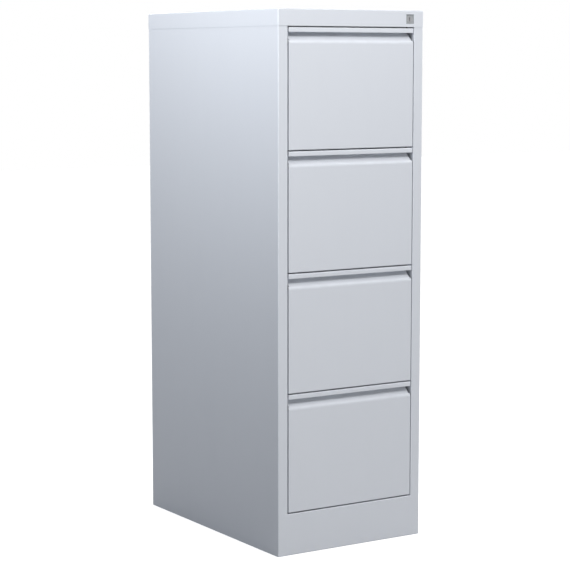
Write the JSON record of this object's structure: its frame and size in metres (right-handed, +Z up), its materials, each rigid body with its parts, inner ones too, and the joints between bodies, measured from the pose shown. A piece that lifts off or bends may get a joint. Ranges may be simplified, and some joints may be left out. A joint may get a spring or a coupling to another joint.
{
  "type": "filing cabinet",
  "caption": "Tall narrow steel filing cabinet with stacked flush drawers, each with a full-width folded finger grip, on telescopic slides, and a square lock at the top right.",
  "frame": {"origin": "on the floor, under the middle of the cabinet", "axes": "+Z up, -Y out of the drawer fronts, +X to the right of a person facing the drawers"},
  "size_m": [0.413, 0.622, 1.284],
  "materials": {
    "carcass_paint": "semi-gloss light grey powder coat with a fine orange peel",
    "drawer_paint": "semi-gloss light grey powder coat with a fine orange peel",
    "zinc_rail": "bright zinc plate, lightly greased",
    "bar_steel": "bare cold-rolled steel",
    "rivet_steel": "zinc-plated steel",
    "lock_nickel": "satin nickel plate",
    "lock_plastic": "fine-textured grey moulded plastic",
    "guide_nylon": "natural nylon",
    "stop_rubber": "black moulded rubber"
  },
  "bodies": {
    "carcass": {"side_panel_left": "carcass_paint", "side_panel_right": "carcass_paint", "back_panel": "carcass_paint", "top_cover": "carcass_paint", "plinth": "carcass_paint", "base_panel": "carcass_paint", "front_posts": "carcass_paint", "rear_posts": "carcass_paint", "cross_rails": "carcass_paint", "rail_rivets": "rivet_steel", "slide_stops": "stop_rubber", "bar_guides": "guide_nylon", "lock_housing": "lock_plastic", "fixed_rail_1_left": "zinc_rail", "fixed_rail_1_right": "zinc_rail", "fixed_rail_2_left": "zinc_rail", "fixed_rail_2_right": "zinc_rail", "fixed_rail_3_left": "zinc_rail", "fixed_rail_3_right": "zinc_rail", "fixed_rail_4_left": "zinc_rail", "fixed_rail_4_right": "zinc_rail"},
    "locking_bar": {"locking_bar": "bar_steel", "bar_head": "bar_steel", "bar_hooks": "bar_steel"},
    "lock_barrel": {"lock_barrel": "lock_nickel", "lock_cam": "rivet_steel", "cam_screw": "rivet_steel"},
    "drawer_1": {"drawer_1_front": "drawer_paint", "drawer_1_liner": "drawer_paint", "drawer_1_tray": "drawer_paint", "drawer_1_back": "drawer_paint", "drawer_1_rail_left": "zinc_rail", "drawer_1_rail_right": "zinc_rail"},
    "middle_rails_1": {"middle_rail_1_left": "zinc_rail", "middle_rail_1_right": "zinc_rail"},
    "drawer_2": {"drawer_2_front": "drawer_paint", "drawer_2_liner": "drawer_paint", "drawer_2_tray": "drawer_paint", "drawer_2_back": "drawer_paint", "drawer_2_rail_left": "zinc_rail", "drawer_2_rail_right": "zinc_rail"},
    "middle_rails_2": {"middle_rail_2_left": "zinc_rail", "middle_rail_2_right": "zinc_rail"},
    "drawer_3": {"drawer_3_front": "drawer_paint", "drawer_3_liner": "drawer_paint", "drawer_3_tray": "drawer_paint", "drawer_3_back": "drawer_paint", "drawer_3_rail_left": "zinc_rail", "drawer_3_rail_right": "zinc_rail"},
    "middle_rails_3": {"middle_rail_3_left": "zinc_rail", "middle_rail_3_right": "zinc_rail"},
    "drawer_4": {"drawer_4_front": "drawer_paint", "drawer_4_liner": "drawer_paint", "drawer_4_tray": "drawer_paint", "drawer_4_back": "drawer_paint", "drawer_4_rail_left": "zinc_rail", "drawer_4_rail_right": "zinc_rail"},
    "middle_rails_4": {"middle_rail_4_left": "zinc_rail", "middle_rail_4_right": "zinc_rail"}
  },
  "joints": [
    {"name": "drawer_1_slide", "type": "slide", "parent": "carcass", "child": "drawer_1", "axis": [0, -1, 0], "range_m": [0, 0.5]},
    {"name": "middle_rails_1_slide", "type": "slide", "parent": "carcass", "child": "middle_rails_1", "axis": [0, -1, 0], "range_m": [0, 0.25]},
    {"name": "drawer_2_slide", "type": "slide", "parent": "carcass", "child": "drawer_2", "axis": [0, -1, 0], "range_m": [0, 0.5]},
    {"name": "middle_rails_2_slide", "type": "slide", "parent": "carcass", "child": "middle_rails_2", "axis": [0, -1, 0], "range_m": [0, 0.25]},
    {"name": "drawer_3_slide", "type": "slide", "parent": "carcass", "child": "drawer_3", "axis": [0, -1, 0], "range_m": [0, 0.5]},
    {"name": "middle_rails_3_slide", "type": "slide", "parent": "carcass", "child": "middle_rails_3", "axis": [0, -1, 0], "range_m": [0, 0.25]},
    {"name": "drawer_4_slide", "type": "slide", "parent": "carcass", "child": "drawer_4", "axis": [0, -1, 0], "range_m": [0, 0.5]},
    {"name": "middle_rails_4_slide", "type": "slide", "parent": "carcass", "child": "middle_rails_4", "axis": [0, -1, 0], "range_m": [0, 0.25]},
    {"name": "locking_bar_lift", "type": "slide", "parent": "carcass", "child": "locking_bar", "axis": [0, 0, 1], "range_m": [0, 0.012]},
    {"name": "lock_turn", "type": "hinge", "parent": "carcass", "child": "lock_barrel", "pos_m": [0.1668, -0.309, 1.263], "axis": [0, -1, 0], "range_deg": [0, 90]}
  ],
  "couplings": [
    {"joint": "middle_rails_1_slide", "follows": "drawer_1_slide", "ratio": 0.5},
    {"joint": "middle_rails_2_slide", "follows": "drawer_2_slide", "ratio": 0.5},
    {"joint": "middle_rails_3_slide", "follows": "drawer_3_slide", "ratio": 0.5},
    {"joint": "middle_rails_4_slide", "follows": "drawer_4_slide", "ratio": 0.5},
    {"joint": "lock_turn", "follows": "locking_bar_lift", "rad_per_m": 130.9}
  ]
}
